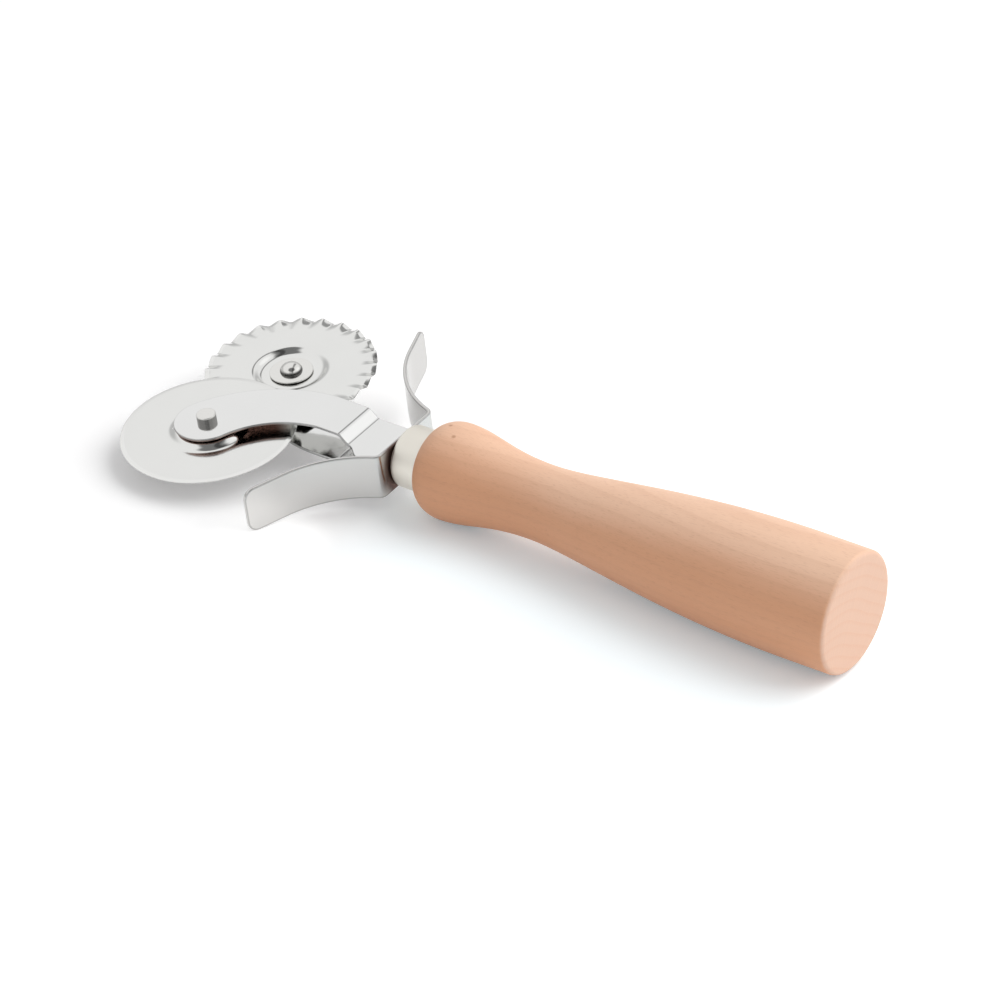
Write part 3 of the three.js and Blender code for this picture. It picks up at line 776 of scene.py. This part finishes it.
class CUTTER_OT_wings(bpy.types.Operator):
    """Bend the strip whose two ends are the finger wings"""
    bl_idname = "cutter.wings"
    bl_label = "Bend the wings"

    def execute(self, context):
        cutter = context.scene.pasta_cutter
        settings = cutter.wings
        web_back = cutter.handle.length + cutter.ferrule.length
        smooth = wing_rows(settings, settings.smooth_angle, web_back)
        fluted = wing_rows(settings, settings.fluted_angle, web_back)
        places, normals, rest = (np.concatenate([(there * flip)[:0:-1], here]) for here, there, flip
                                 in zip(smooth, fluted, ((1, -1), (1, -1), 1)))
        half, corner = settings.width / 2, settings.corner
        near_tip = np.maximum(corner - rest, 0)
        width = half - corner + np.sqrt(corner ** 2 - near_tip ** 2)
        height = across(width, width, settings.edge)
        over = np.maximum(np.abs(height) - half + corner, 0)
        to_edge = np.where((over > 0) & (near_tip[:, None] > 0),
                           corner - np.hypot(over, near_tip[:, None]),
                           np.minimum(half - np.abs(height), rest[:, None]))
        to_edge = np.maximum(to_edge, 0)
        thick = rounded_half(to_edge, settings.thickness, settings.edge)
        faces = [np.concatenate([places[:, None, :] + sign * thick[..., None] * normals[:, None, :],
                                 height[..., None]], axis=-1) for sign in (1, -1)]
        # Wear and painted shade: rougher metal with a dark band just inside the rounded edges.
        wear = sheared_edge_shade(to_edge, settings.edge, 0.1, 1)
        # Painted shade on the outer face of the web, on the smooth side, where the crevice beside
        # the ferrule is dark.
        on_web = places[:, :1] < web_back + settings.thickness
        aside = np.clip(places[:, 1:] / settings.web_shade_full, 0, 1)
        from_end = settings.web_shade_reach - np.hypot(places[:, 1:], height)
        stain = on_web * aside * np.clip(from_end / settings.web_shade_fade, 0, 1)
        layers = {"wear": wear, "run": sheet_run(places, height), "stain": (stain, 0 * stain)}
        piece = sheet_piece("wing_strip_bent", *faces, layers)
        metal = steel("polished_wings", settings.metal, lengthwise, roughness=0.2, spread=0.1,
                      relief=0.002 * MM, edge=PAINTED_EDGE_SHADE, stain=settings.stain)
        settle(piece, "tool", "wing_strip", metal)
        return {"FINISHED"}


def arm_grid(settings, start, axle_x, axle_y):
    """Upper and lower face of an arm on one grid, with its wear and the painted shade along its
    edges, its run, and the painted shade on its face toward the wheel.
    The middle line is a straight with a joggle up, drawn with two rounded bends, then an arc in
    plan that ends in the axle. Along the arc both edges move out evenly to the tip's radius."""
    half, soft = settings.tip_radius, settings.joggle_softness
    rise = settings.blade_level - settings.plate_level
    slope = math.atan2(rise, settings.joggle_run)
    lag = settings.thickness * math.tan(slope / 2) / 2
    foot = np.array([start + settings.joggle_from_web + lag, settings.plate_level])
    head = foot + (settings.joggle_run, rise)
    flat, ramp = np.array([soft, 0]), soft * np.array([math.cos(slope), math.sin(slope)])
    bend_at = start + settings.straight
    steps = edge_steps(settings.edge)
    side = np.concatenate([
        np.stack([start + steps, np.full_like(steps, settings.plate_level)], axis=1),
        line((start + 3 * steps[-1], settings.plate_level), foot - 1.3 * flat, 24),
        bezier([foot - flat, foot, foot + ramp], 12),
        line(foot + 1.2 * ramp, head - 1.2 * ramp, 5),
        bezier([head - ramp, head, head + flat], 12),
        line(head + 1.3 * flat, (bend_at, settings.blade_level), 10)[:-1],
    ])
    drop = np.gradient(side, axis=0)
    pitch = np.arctan2(drop[:, 1], drop[:, 0])
    reach = axle_x - bend_at
    sweep = (reach ** 2 + axle_y ** 2) / (2 * axle_y)
    full_turn = 2 * math.atan2(axle_y, reach)
    turn = np.linspace(0, full_turn, 56)
    beyond = half * np.sin(np.linspace(0, QUARTER, 40))[1:]
    beyond = np.sort(np.append(beyond, half - steps[1:]))
    forward = np.array([math.cos(full_turn), math.sin(full_turn)])
    centre = np.concatenate([
        np.stack([side[:, 0], 0 * side[:, 0]], axis=1),
        np.stack([bend_at + sweep * np.sin(turn), sweep * (1 - np.cos(turn))], axis=1),
        np.array([axle_x, axle_y]) + beyond[:, None] * forward,
    ])
    heading = np.concatenate([0 * pitch, turn, np.full(len(beyond), full_turn)])
    pitch = np.concatenate([pitch, np.zeros(len(turn) + len(beyond))])
    level = np.concatenate([side[:, 1], np.full(len(turn) + len(beyond), settings.blade_level)])
    past = np.concatenate([np.zeros(len(side) + len(turn)), beyond])
    swept = heading / full_turn
    tip = np.sqrt(np.maximum(1 - (past / half) ** 2, 0))
    flare_end = start + settings.flare_length
    fall = np.clip((centre[:, 0] - flare_end) / settings.flare_run, 0, 1)
    left = (tip * (settings.near + swept * (half - settings.near))
            + settings.flare * (1 - fall * fall * (3 - 2 * fall)))
    right = tip * (settings.far + swept * (half - settings.far))
    offset = across(left, right, settings.edge)
    in_tip = past[:, None] > 0
    to_edge = np.where(in_tip, half - np.hypot(past[:, None], offset),
                       np.minimum(left[:, None] - offset, offset + right[:, None]))
    to_edge = np.maximum(np.minimum(to_edge, centre[:, :1] - start), 0)
    thick = rounded_half(to_edge, settings.thickness, settings.edge)
    leftwards = np.stack([-np.sin(heading), np.cos(heading), 0 * heading], axis=1)
    upwards = np.stack([-np.sin(pitch) * np.cos(heading), -np.sin(pitch) * np.sin(heading),
                        np.cos(pitch)], axis=1)
    middle = (np.concatenate([centre, level[:, None]], axis=1)[:, None, :]
              + offset[..., None] * leftwards[:, None, :])
    faces = [middle + sign * thick[..., None] * upwards[:, None, :] for sign in (1, -1)]
    # Wear and painted shade: rougher, darker metal on the rounded edges.
    wear = sheared_edge_shade(to_edge, settings.edge, 0.9, 0)
    # Painted shade on the face toward the wheel, full near the axle and ending farther out.
    from_axle = np.hypot(middle[..., 0] - axle_x, middle[..., 1] - axle_y)
    underside_shade = np.clip((settings.underside_shade_reach - from_axle) / settings.underside_shade_fade, 0, 1)
    return faces, {"wear": wear, "run": sheet_run(centre, offset), "stain": (0 * underside_shade, underside_shade)}


class CUTTER_OT_arms(bpy.types.Operator):
    """Press the two joggled arms, one the other turned over"""
    bl_idname = "cutter.arms"
    bl_label = "Press the arms"

    def execute(self, context):
        cutter = context.scene.pasta_cutter
        settings = cutter.arms
        axle_x, axle_y, _ = axle_place(cutter)
        faces, layers = arm_grid(settings, web_front(cutter), axle_x, axle_y)
        # The arms' finish lays painted shade on the face toward the wheel and along the edges.
        metal = steel("polished_arms", settings.metal, lengthwise, roughness=0.1, spread=0.06,
                      relief=0.0012 * MM, edge=PAINTED_EDGE_SHADE, stain=settings.inside)
        for half, (_, turn) in zip(("upper", "lower"), SIDES):
            arm = sheet_piece(f"{half}_arm_pressed", *(turn(face) for face in faces), layers)
            settle(arm, "tool", f"{half}_arm", metal)
        return {"FINISHED"}


BEVEL_RING, BOSS_RING = 0.12 * MM, 0.2 * MM  # last ring of the disc and of the boss's flat top
GROUND_WEAR = 0.4                            # wear of the bevel


def wheel_profile(settings):
    """Section of a wheel about its own axis and middle plane: flat hub, pressed boss with a soft
    S-shaped flank, flat disc, ground bevel and a thin round edge; lower side first."""
    half, thin = settings.thickness / 2, settings.edge / 2
    ease = (settings.boss_radius - settings.boss_top_radius) / 2
    bevel_at = settings.radius - settings.bevel
    disc = np.linspace(settings.boss_radius, bevel_at, 30)[1:-1]
    disc = np.append(disc, bevel_at - BEVEL_RING)

    def flank(offset):
        top, foot = settings.boss_height + offset, offset
        return np.concatenate([
            line((settings.bore, top), (settings.boss_top_radius - BOSS_RING, top), 8),
            bezier([(settings.boss_top_radius, top), (settings.boss_top_radius + ease, top),
                    (settings.boss_radius - ease, foot), (settings.boss_radius, foot)], 22),
            np.stack([disc, np.full_like(disc, foot)], axis=1),
        ])

    rim = np.concatenate([
        line((bevel_at, -half), (settings.radius - thin, -thin), 8),
        arc((settings.radius - thin, 0), (thin, thin), -QUARTER, QUARTER, 7),
        line((settings.radius - thin, thin), (bevel_at, half), 8),
    ])
    lower, upper = flank(-half), flank(half)
    return np.concatenate([lower, rim, upper[::-1], lower[:1]])


class CUTTER_OT_wheels(bpy.types.Operator):
    """Stamp the smooth and the fluted wheel"""
    bl_idname = "cutter.wheels"
    bl_label = "Stamp the wheels"

    def execute(self, context):
        cutter = context.scene.pasta_cutter
        settings = cutter.wheels
        place = axle_place(cutter, settings.level)
        profile = wheel_profile(settings)
        worn = np.where(profile[:, 0] > settings.radius - settings.bevel, GROUND_WEAR, 0.0)

        # Waves of the rim: the arc sine of a damped cosine, growing evenly from their inner end.
        waved = turned(profile, settings.flutes * 24)
        radius = np.hypot(waved[..., 0], waved[..., 1])
        growth = np.maximum(0, 1 + (radius - settings.radius) / settings.flute_length)
        phase = settings.flutes * (np.arctan2(waved[..., 1], waved[..., 0]) - settings.flute_turn)
        crease = settings.flute_crease
        wave = np.arcsin(crease * np.cos(phase)) / math.asin(crease)
        waved[..., 2] += settings.flute_swing * growth * wave

        makes = zip(SIDES, ("ground", "pressed"), (turned(profile, 288), waved))
        for (side, turn), made, grid in makes:
            wheel = turned_piece(f"{side}_wheel_{made}", turn(grid + place), worn)
            metal = steel(f"polished_{side}_wheel", settings.metal, round_axle(turn(place)),
                          roughness=0.11, spread=0.08, relief=0.001 * MM)
            settle(wheel, f"{side}_cutter", f"{side}_wheel", metal)
        return {"FINISHED"}


DOME_STEP = 0.02 * MM               # small flat under the dome's rim
DOME_FOOT, DOME_FADE = 0.87, 0.09   # where the painted dark ring at the dome's foot starts and is full, in radii of the dome
FLANK_SHADE = 0.8                    # painted shade and wear on the plain end's flank


class CUTTER_OT_axles(bpy.types.Operator):
    """Turn the axles and the washers"""
    bl_idname = "cutter.axles"
    bl_label = "Turn the axles"

    def execute(self, context):
        cutter = context.scene.pasta_cutter
        settings, arms = cutter.axles, cutter.arms
        place = axle_place(cutter)
        arm_bottom = arms.blade_level - arms.thickness / 2
        arm_top = arm_bottom + arms.thickness
        top = arm_top + settings.end_length
        neck, wide, rounding = settings.radius, settings.shoulder_radius, settings.end_rounding
        dome, low, high = settings.dome_radius, settings.washer_bottom, settings.washer_top
        outline = np.concatenate([
            arc((0, low), (dome, settings.dome_height), -QUARTER, 0, 20),
            line((dome - DOME_STEP, low), (neck, low)),
            line((neck, settings.shoulder_bottom), (wide, settings.shoulder_bottom)),
            line((wide, arm_bottom), (neck, arm_bottom)),
            line((neck, arm_top), (wide, arm_top)),
            line((wide, arm_top + 0.1 * MM), (wide, top - 1.6 * rounding), 4),
            arc((wide - rounding, top - rounding), (rounding, rounding), 0, QUARTER, 8),
            line((wide - 1.4 * rounding, top), (0, top), 4),
        ])
        pin = turned(outline, 96) + place
        radius, height = outline.T
        # Painted shade: a dark ring round the dome's foot and a dark flank on the plain end,
        # standing for the shade and dark reflections there.
        foot = np.clip((radius / dome - DOME_FOOT) / DOME_FADE, 0, 1)
        flank = (height > arm_top - 0.01 * MM) & (height < top - 1.2 * rounding)
        painted_ring_shade = np.where(flank, FLANK_SHADE, foot)
        outer, bore, soft = settings.washer_radius, settings.washer_bore, settings.washer_rounding
        disc = turned(np.concatenate([
            line((bore, low), (outer - 1.5 * soft, low), 5),
            arc((outer - soft, low + soft), (soft, soft), -QUARTER, 0, 6),
            arc((outer - soft, high - soft), (soft, soft), 0, QUARTER, 6),
            line((outer - 1.5 * soft, high), (bore, high), 5),
            line((bore, low), (bore, low), 1),
        ]), 128) + place
        for side, turn in SIDES:
            metal = steel(f"turned_{side}_axle", settings.metal, round_axle(turn(place)),
                          roughness=0.13, spread=0.08, relief=0.0015 * MM, edge=PAINTED_AXLE_SHADE)
            axle = turned_piece(f"{side}_axle_pin", turn(pin), painted_ring_shade)
            settle(axle, "tool", f"{side}_axle", metal)
            washer = turned_piece(f"{side}_washer_disc", turn(disc))
            settle(washer, "tool", f"{side}_washer", metal)
        return {"FINISHED"}


TANG_METAL = (0.5, 0.5, 0.48)


class CUTTER_OT_tang(bpy.types.Operator):
    """Give the flat tang its rolled steel finish"""
    bl_idname = "cutter.tang"
    bl_label = "Finish the tang"

    def execute(self, context):
        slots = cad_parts["tang"].data.materials
        slots.clear()
        slots.append(steel("rolled_tang", TANG_METAL, rolled, roughness=0.42, spread=0.15,
                           relief=0.004 * MM))
        return {"FINISHED"}


CAMERA_PLACE = (-0.301723, 0.484736, 0.466838)           # metres
CAMERA_TURN = (-0.253549, -0.176323, 0.411668, 0.85741)  # quaternion
FRAME_WIDTH = 36.0                                       # millimetres
CLIPPING = (0.01, 100.0)
TOOL_MIDDLE = (100.0, 0.0, 0.0)                          # millimetres
FLOOR_HALF, FLOOR_ROWS = 4.0, 9
KEY_SIDE = (-0.5, -0.5, 0.707)  # along, aside and up from the tool to the key light
KEY_DISTANCE, KEY_WIDTH = 1.8, 2.0
# The paper's lift changes along the tool, where a cooler painted light beside the wood offsets its
# warm bounce, round a spot beside the smooth side's wing, where painted light thins its shadow, and
# far away; in millimetres, from where a change starts to where it is full.
WOOD_TINT, WING_TINT, FAR_TINT = (140.0, 105.0), (18.0, 5.0), (300.0, 1500.0)
WING_SHADE = (143.5, 37.0, -6.0)
# The room that metal mirrors. A patch has a direction, the cosines of the angles from it at which
# it starts and is full, and its change of the wall's brightness.
ROOM_PATCHES = (
    ((-0.6, -0.6, 0.53), 0.88, 0.96, 0.18),      # panel where the lamp hangs
    ((-0.15, 0.1, 0.984), 0.88, 0.95, -0.8),     # overhead
    ((-0.513, 0.618, 0.596), 0.9, 0.97, -0.35),  # round the camera
)
SKIRTING, SKIRTING_CHANGE = (0.58, 0.2), -0.4
GAP_SIDE, GAP_CHANGE = (-0.813, -0.582, 0.0), -0.65
GAP_LEFT, GAP_RIGHT, GAP_BOTTOM = (0.1, 0.18), (0.36, 0.28), (0.45, 0.6)


def floor_axes(settings):
    """Three unit vectors of the floor: along the tool, across it, and up out of the floor, which is
    the middle plane's normal tilted by the tool's pitch and roll."""
    up = np.array([-math.sin(settings.pitch), -math.cos(settings.pitch) * math.sin(settings.roll),
                   math.cos(settings.pitch) * math.cos(settings.roll)])
    along = np.array([1.0, 0.0, 0.0]) - up[0] * up
    along /= np.linalg.norm(along)
    return along, np.cross(up, along), up


class CUTTER_OT_stage(bpy.types.Operator):
    """Set the floor, the soft light and the camera"""
    bl_idname = "cutter.stage"
    bl_label = "Set the stage"

    def execute(self, context):
        scene, settings = context.scene, context.scene.pasta_cutter.stage
        along, aside, up = floor_axes(settings)
        centre = MM * np.array(TOOL_MIDDLE)
        ground = centre - up * (centre @ up + settings.drop)

        # Floor: ground + u along + v aside, over a square.
        steps = np.linspace(-FLOOR_HALF, FLOOR_HALF, FLOOR_ROWS)
        u, v = np.meshgrid(steps, steps, indexing="ij")
        points = ground + u[..., None] * along + v[..., None] * aside
        mesh = bpy.data.meshes.new("paper_floor")
        mesh.from_pydata(points.reshape(-1, 3).tolist(), [],
                         grid_faces(np.arange(u.size).reshape(u.shape), False).tolist())
        floor = bpy.data.objects.new("paper_floor", mesh)
        scene.collection.objects.link(floor)
        floor.data.materials.append(self.paper(settings))

        lamp = bpy.data.lights.new("softbox", "AREA")
        lamp.shape, lamp.size, lamp.size_y = "RECTANGLE", KEY_WIDTH, KEY_WIDTH
        lamp.energy = settings.key_power
        softbox = bpy.data.objects.new("softbox", lamp)
        scene.collection.objects.link(softbox)
        above = KEY_DISTANCE * (KEY_SIDE[0] * along + KEY_SIDE[1] * aside + KEY_SIDE[2] * up)
        softbox.location = centre + above
        softbox.visible_glossy = False
        softbox.rotation_mode = "QUATERNION"
        softbox.rotation_quaternion = Vector(-above).to_track_quat("-Z", "Y")

        world = bpy.data.worlds.new("white_room")
        scene.world = world
        self.surroundings(world, settings, up)

        camera = bpy.data.cameras.new("camera")
        camera.sensor_width, camera.lens = FRAME_WIDTH, settings.lens
        camera.clip_start, camera.clip_end = CLIPPING
        eye = bpy.data.objects.new("camera", camera)
        scene.collection.objects.link(eye)
        eye.location = CAMERA_PLACE
        eye.rotation_mode = "QUATERNION"
        eye.rotation_quaternion = Quaternion(CAMERA_TURN).normalized()
        scene.camera = eye
        scene.view_settings.view_transform = "Standard"
        return {"FINISHED"}

    @staticmethod
    def paper(settings):
        """White paper that keeps shadows; cameras and mirrors see it lifted to white, with painted
        light that thins the shadow beside a wing, a cooler painted light beside the wood that
        offsets the wood's warm bounce, and fully in the distance."""
        tree = finish("white_paper")
        camera, glossy = tree.rays()
        matt = tree.node("ShaderNodeBsdfDiffuse", None, {"Color": (*settings.floor_colour, 1)})
        place = tree.millimetres()
        along, _, _ = tree.parts(place)
        beside_wing, away = (tree.distance(place, spot) for spot in (WING_SHADE, TOOL_MIDDLE))
        far = tree.step(away, *FAR_TINT) * (1 - glossy * 0.5)
        # Painted light: a cooler glow beside the wood and a brighter spot beside the wing.
        lift = tree.mix(tree.step(along, *WOOD_TINT), settings.lift, settings.cool_painted_light)
        lift = tree.mix(tree.step(beside_wing, *WING_TINT), lift, settings.wing_painted_light)
        lift = tree.mix(far, lift, (1, 1, 1))
        glow = tree.node("ShaderNodeEmission", None, {"Color": lift, "Strength": camera + glossy})
        both = tree.node("ShaderNodeAddShader", None, {0: matt, 1: glow})
        tree.node("ShaderNodeOutputMaterial", None, {"Surface": both})
        return tree.owner

    @staticmethod
    def surroundings(world, settings, up):
        """A white room: cameras see white and matt surfaces get an even fill. Mirrors see a white
        wall behind the tool, a brighter panel where the lamp hangs, a dark gap beside it, dark
        patches overhead and round the camera, and a dark skirting."""
        tree = Tree(world)
        camera, glossy = tree.rays()
        way = tree.node("ShaderNodeTexCoord", output="Generated")

        def towards(direction):
            return tree.vector("DOT_PRODUCT", way, {1: tuple(direction)}, "Value")

        height, aside = towards(up), towards(GAP_SIDE)
        gap = (tree.step(aside, *GAP_LEFT) * tree.step(aside, *GAP_RIGHT)
               * tree.step(height, *GAP_BOTTOM))
        skirting = tree.step(height, *SKIRTING)
        walls = settings.far_wall * (1 + gap * GAP_CHANGE) * (1 + skirting * SKIRTING_CHANGE)
        for direction, start, full, change in ROOM_PATCHES:
            walls = walls * (1 + tree.step(towards(direction), start, full) * change)
        strength = camera + (1 - camera) * (glossy * walls + (1 - glossy) * settings.fill_level)
        back = tree.node("ShaderNodeBackground", None,
                         {"Color": (1, 1, 1, 1), "Strength": strength})
        tree.node("ShaderNodeOutputWorld", None, {"Surface": back})


class CUTTER_PT_panel(bpy.types.Panel):
    """Settings and steps of the pasta cutter"""
    bl_idname = "CUTTER_PT_panel"
    bl_label = "Pasta cutter"
    bl_space_type = "VIEW_3D"
    bl_region_type = "UI"
    bl_category = "Pasta cutter"

    def draw(self, context):
        cutter = context.scene.pasta_cutter
        for group in ("handle", "ferrule", "wings", "arms", "wheels", "axles", "stage"):
            box = self.layout.box()
            box.label(text=group.capitalize())
            for name in getattr(cutter, group).__annotations__:
                box.prop(getattr(cutter, group), name)
        for operator in OPERATORS:
            self.layout.operator(operator.bl_idname)


GROUPS = (HandleSettings, FerruleSettings, WingSettings, ArmSettings, WheelSettings, AxleSettings,
          StageSettings, CutterSettings)
OPERATORS = (CUTTER_OT_handle, CUTTER_OT_ferrule, CUTTER_OT_wings, CUTTER_OT_arms, CUTTER_OT_wheels,
             CUTTER_OT_axles, CUTTER_OT_tang, CUTTER_OT_stage)
CLASSES = (*GROUPS, *OPERATORS, CUTTER_PT_panel)


def register():
    for item in CLASSES:
        bpy.utils.register_class(item)
    bpy.types.Scene.pasta_cutter = PointerProperty(type=CutterSettings)


def unregister():
    del bpy.types.Scene.pasta_cutter
    for item in reversed(CLASSES):
        bpy.utils.unregister_class(item)


def main():
    """Builds every piece and the stage."""
    register()
    bpy.ops.cutter.handle()
    bpy.ops.cutter.ferrule()
    bpy.ops.cutter.wings()
    bpy.ops.cutter.arms()
    bpy.ops.cutter.wheels()
    bpy.ops.cutter.axles()
    bpy.ops.cutter.tang()
    bpy.ops.cutter.stage()


if __name__ == "__main__":
    main()
